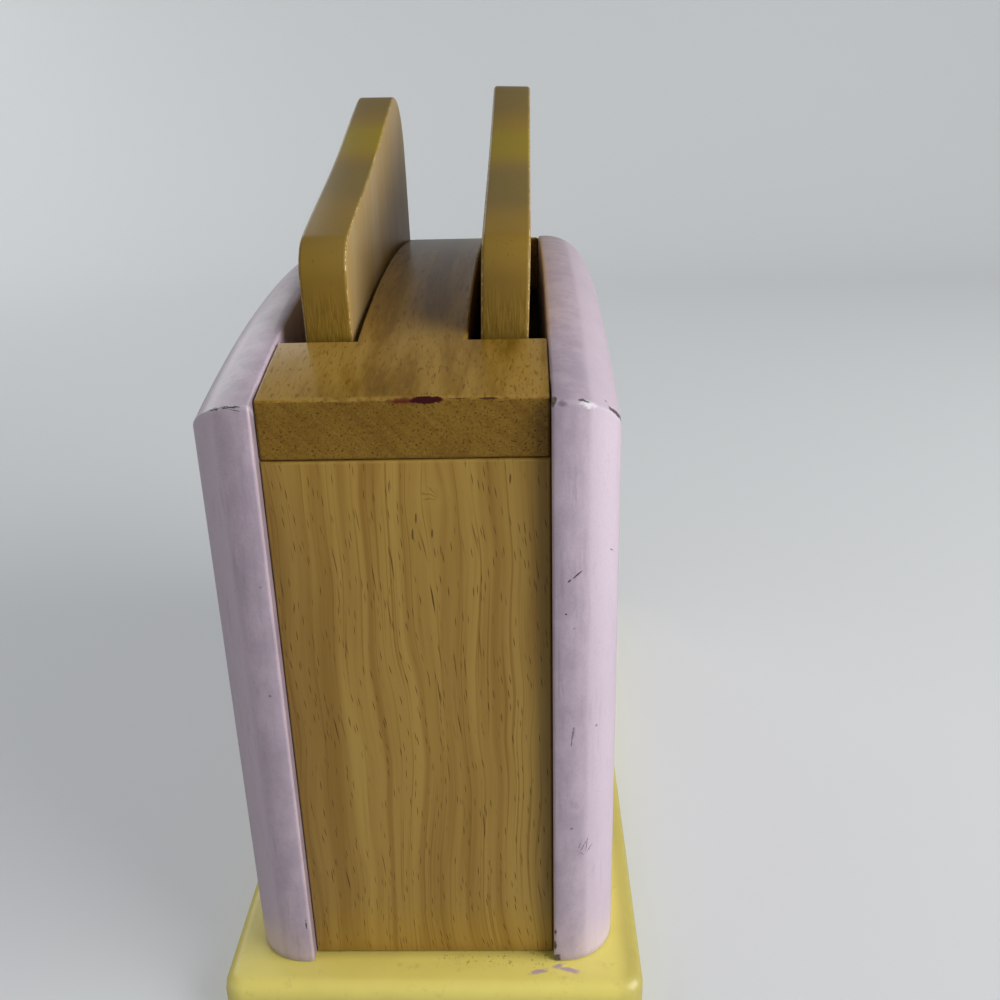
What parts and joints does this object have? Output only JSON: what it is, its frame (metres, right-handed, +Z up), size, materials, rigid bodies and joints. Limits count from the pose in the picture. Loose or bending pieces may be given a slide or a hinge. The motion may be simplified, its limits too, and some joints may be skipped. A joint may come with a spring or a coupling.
{
  "type": "toy toaster",
  "caption": "Wooden toy toaster with an arched two-slot top, rounded painted side boards, a flat base, loose bread slices on a sprung lift, an end lever and a side dial.",
  "frame": {"origin": "middle of the base board's underside", "axes": "+Z up, +Y along the slots towards the lever end, +X across the slots towards the dial side"},
  "size_m": [0.1234, 0.2527, 0.2369],
  "materials": {
    "lavender_paint": "satin paint",
    "yellow_paint": "satin paint",
    "lacquered_wood": "clear gloss lacquer",
    "toasted_wood": "stained and lacquered",
    "raw_wood": "plain",
    "zinc_steel": "zinc plated"
  },
  "bodies": {
    "housing": {"base_board": "yellow_paint", "side_board_left": "lavender_paint", "side_board_right": "lavender_paint", "end_panel_near": "lacquered_wood", "end_panel_far": "lacquered_wood", "top_block": "lacquered_wood", "guide_rod_near": "raw_wood", "guide_rod_far": "raw_wood", "spring_near": "zinc_steel", "spring_far": "zinc_steel", "dial_peg": "raw_wood", "dial_washer": "zinc_steel", "base_screw_1": "zinc_steel", "side_dowel_1": "raw_wood", "base_screw_2": "zinc_steel", "side_dowel_2": "raw_wood", "base_screw_3": "zinc_steel", "side_dowel_3": "raw_wood", "base_screw_4": "zinc_steel", "side_dowel_4": "raw_wood", "base_screw_5": "zinc_steel", "side_dowel_5": "raw_wood", "base_screw_6": "zinc_steel", "side_dowel_6": "raw_wood", "base_screw_7": "zinc_steel", "side_dowel_7": "raw_wood", "base_screw_8": "zinc_steel", "side_dowel_8": "raw_wood", "top_dowel_1": "raw_wood", "top_dowel_2": "raw_wood", "top_dowel_3": "raw_wood", "top_dowel_4": "raw_wood"},
    "lift": {"lift_shelf": "raw_wood", "lever_arm": "raw_wood", "lever_knob": "yellow_paint", "lever_screw_1": "zinc_steel", "lever_screw_2": "zinc_steel"},
    "dial": {"dial_knob": "yellow_paint"},
    "toast_left": {"toast_slice_left": "toasted_wood"},
    "toast_right": {"toast_slice_right": "toasted_wood"}
  },
  "joints": [
    {"name": "lift_slide", "type": "slide", "parent": "housing", "child": "lift", "axis": [0, 0, 1], "range_m": [-0.042, 0], "stiffness_N_per_m": 80, "springref_m": 0.08, "deforming": ["spring_near", "spring_far"]},
    {"name": "dial_turn", "type": "hinge", "parent": "housing", "child": "dial", "pos_m": [0.0516, 0.072, 0.059], "axis": [1, 0, 0], "continuous": true},
    {"name": "toast_left_lift_out", "type": "slide", "parent": "lift", "child": "toast_left", "axis": [0, 0, 1], "range_m": [0, 0.1]},
    {"name": "toast_right_lift_out", "type": "slide", "parent": "lift", "child": "toast_right", "axis": [0, 0, 1], "range_m": [0, 0.1]}
  ]
}
